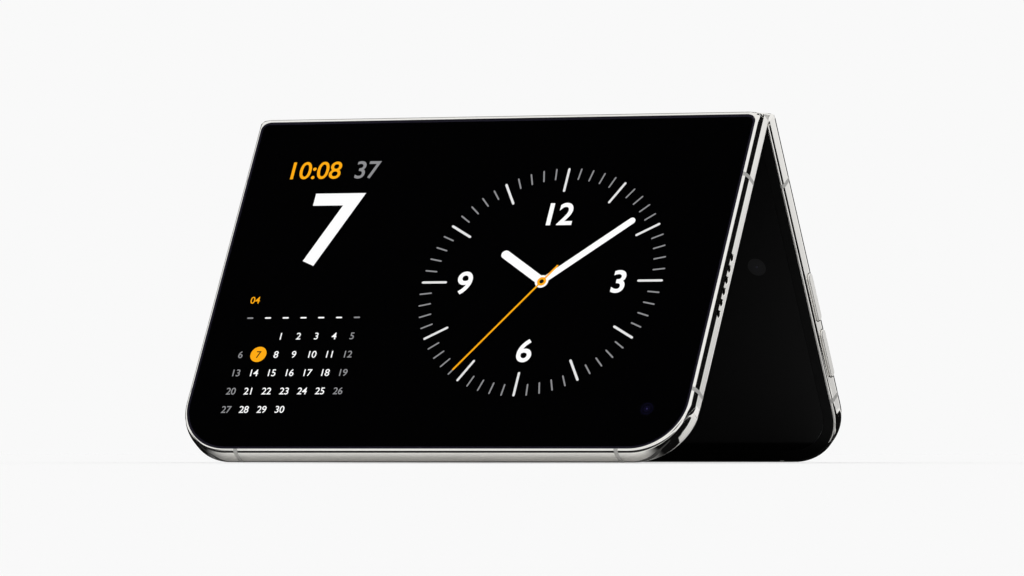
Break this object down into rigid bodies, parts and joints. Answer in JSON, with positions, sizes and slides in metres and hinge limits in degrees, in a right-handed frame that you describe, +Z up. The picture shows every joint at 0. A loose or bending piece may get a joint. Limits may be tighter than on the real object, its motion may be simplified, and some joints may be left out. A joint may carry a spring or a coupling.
{
  "type": "foldable smartphone",
  "caption": "Book-style folding phone with a geared hinge, an outer glass display and a folding inner display, standing like a tent on its free edges.",
  "frame": {"origin": "on the ground, under the middle of the spine, with the phone standing like a tent on the free edges of its two halves", "axes": "+X along the hinge towards the side with the six speaker holes and the volume buttons, +Y towards the rear half, +Z up"},
  "size_m": [0.1204, 0.0918, 0.0752],
  "materials": {
    "polished_frame": "polished metal",
    "break_plastic": "fine matte",
    "black_glass": "gloss black, with a lit display behind",
    "satin_back": "frosted pale glass",
    "panel_black": "gloss",
    "camera_housing": "matte",
    "lens_glass": "coated lens",
    "speaker_box": "matte",
    "speaker_mesh": "woven mesh",
    "battery_foil": "foil pouch",
    "board_green": "solder mask",
    "magnet_nickel": "nickel plate",
    "plate_steel": "etched steel",
    "soft_bezel": "soft matte rim",
    "inner_film": "flexible display film",
    "flex_amber": "polyimide film",
    "hinge_steel": "machined",
    "pin_steel": "ground",
    "gear_brass": "cut teeth",
    "screw_black": "blackened",
    "plateau_metal": "satin",
    "flash_diffuser": "clear ribbed diffuser",
    "coil_copper": "wound copper under film",
    "shield_steel": "tinned sheet",
    "port_steel": "drawn shell",
    "port_plastic": "matte",
    "switch_metal": "domed",
    "spine_satin": "satin anodised",
    "spine_cap": "satin grey"
  },
  "bodies": {
    "spine": {"spine_cover": "spine_satin", "spine_end_caps": "spine_cap", "hinge_brackets": "hinge_steel", "front_hinge_pins": "pin_steel", "rear_hinge_pins": "pin_steel", "friction_washers": "pin_steel", "idler_pins": "pin_steel", "inner_display_fold": "inner_film", "hinge_flex_cable": "flex_amber"},
    "front_half": {"front_frame": "polished_frame", "front_antenna_breaks": "break_plastic", "cover_glass": "black_glass", "cover_display_panel": "panel_black", "cover_camera": "camera_housing", "cover_camera_lens": "lens_glass", "front_speaker": "speaker_box", "front_speaker_mesh": "speaker_mesh", "front_battery": "battery_foil", "front_board": "board_green", "front_magnets": "magnet_nickel", "front_support_plate": "plate_steel", "front_inner_bezel": "soft_bezel", "front_inner_display": "inner_film", "front_hinge_arms": "hinge_steel", "front_arm_screws": "screw_black"},
    "rear_half": {"rear_frame": "polished_frame", "rear_antenna_breaks": "break_plastic", "back_cover": "satin_back", "camera_plateau": "plateau_metal", "camera_rings": "polished_frame", "camera_lens_glasses": "lens_glass", "main_camera": "camera_housing", "wide_camera": "camera_housing", "camera_flash": "flash_diffuser", "inner_camera": "camera_housing", "rear_battery": "battery_foil", "charging_coil": "coil_copper", "main_board": "board_green", "board_shields": "shield_steel", "haptic_motor": "shield_steel", "bottom_speaker": "speaker_box", "bottom_speaker_mesh": "speaker_mesh", "port_shell": "port_steel", "port_tongue": "port_plastic", "side_switches": "switch_metal", "rear_magnets": "magnet_nickel", "rear_support_plate": "plate_steel", "rear_inner_bezel": "soft_bezel", "rear_inner_display": "inner_film", "rear_hinge_arms": "hinge_steel", "rear_arm_screws": "screw_black"},
    "volume_up": {"volume_up_button": "polished_frame"},
    "volume_down": {"volume_down_button": "polished_frame"},
    "power": {"power_button": "polished_frame"},
    "front_idlers": {"front_idler_gears": "gear_brass"},
    "rear_idlers": {"rear_idler_gears": "gear_brass"}
  },
  "joints": [
    {"name": "front_fold", "type": "hinge", "parent": "spine", "child": "front_half", "pos_m": [0, -0.00125, 0.07246], "axis": [-1, 0, 0], "range_deg": [-30, 60], "deforming": ["inner_display_fold", "hinge_flex_cable"]},
    {"name": "rear_fold", "type": "hinge", "parent": "spine", "child": "rear_half", "pos_m": [0, 0.00125, 0.07246], "axis": [1, 0, 0], "range_deg": [-30, 60]},
    {"name": "front_idler_turn", "type": "hinge", "parent": "spine", "child": "front_idlers", "pos_m": [0, -0.00052, 0.07336], "axis": [1, 0, 0], "range_deg": [-36.5, 72.5]},
    {"name": "rear_idler_turn", "type": "hinge", "parent": "spine", "child": "rear_idlers", "pos_m": [0, 0.00052, 0.07336], "axis": [-1, 0, 0], "range_deg": [-36.5, 72.5]},
    {"name": "volume_up_press", "type": "slide", "parent": "rear_half", "child": "volume_up", "axis": [-1, 0, 0], "range_m": [0, 0.00025], "stiffness_N_per_m": 4000},
    {"name": "volume_down_press", "type": "slide", "parent": "rear_half", "child": "volume_down", "axis": [-1, 0, 0], "range_m": [0, 0.00025], "stiffness_N_per_m": 4000},
    {"name": "power_press", "type": "slide", "parent": "rear_half", "child": "power", "axis": [0, -0.5, 0.866], "range_m": [0, 0.00025], "stiffness_N_per_m": 4000}
  ],
  "couplings": [
    {"joint": "rear_fold", "follows": "front_fold", "ratio": 1},
    {"joint": "front_idler_turn", "follows": "front_fold", "ratio": 1.2},
    {"joint": "rear_idler_turn", "follows": "front_fold", "ratio": 1.2}
  ]
}
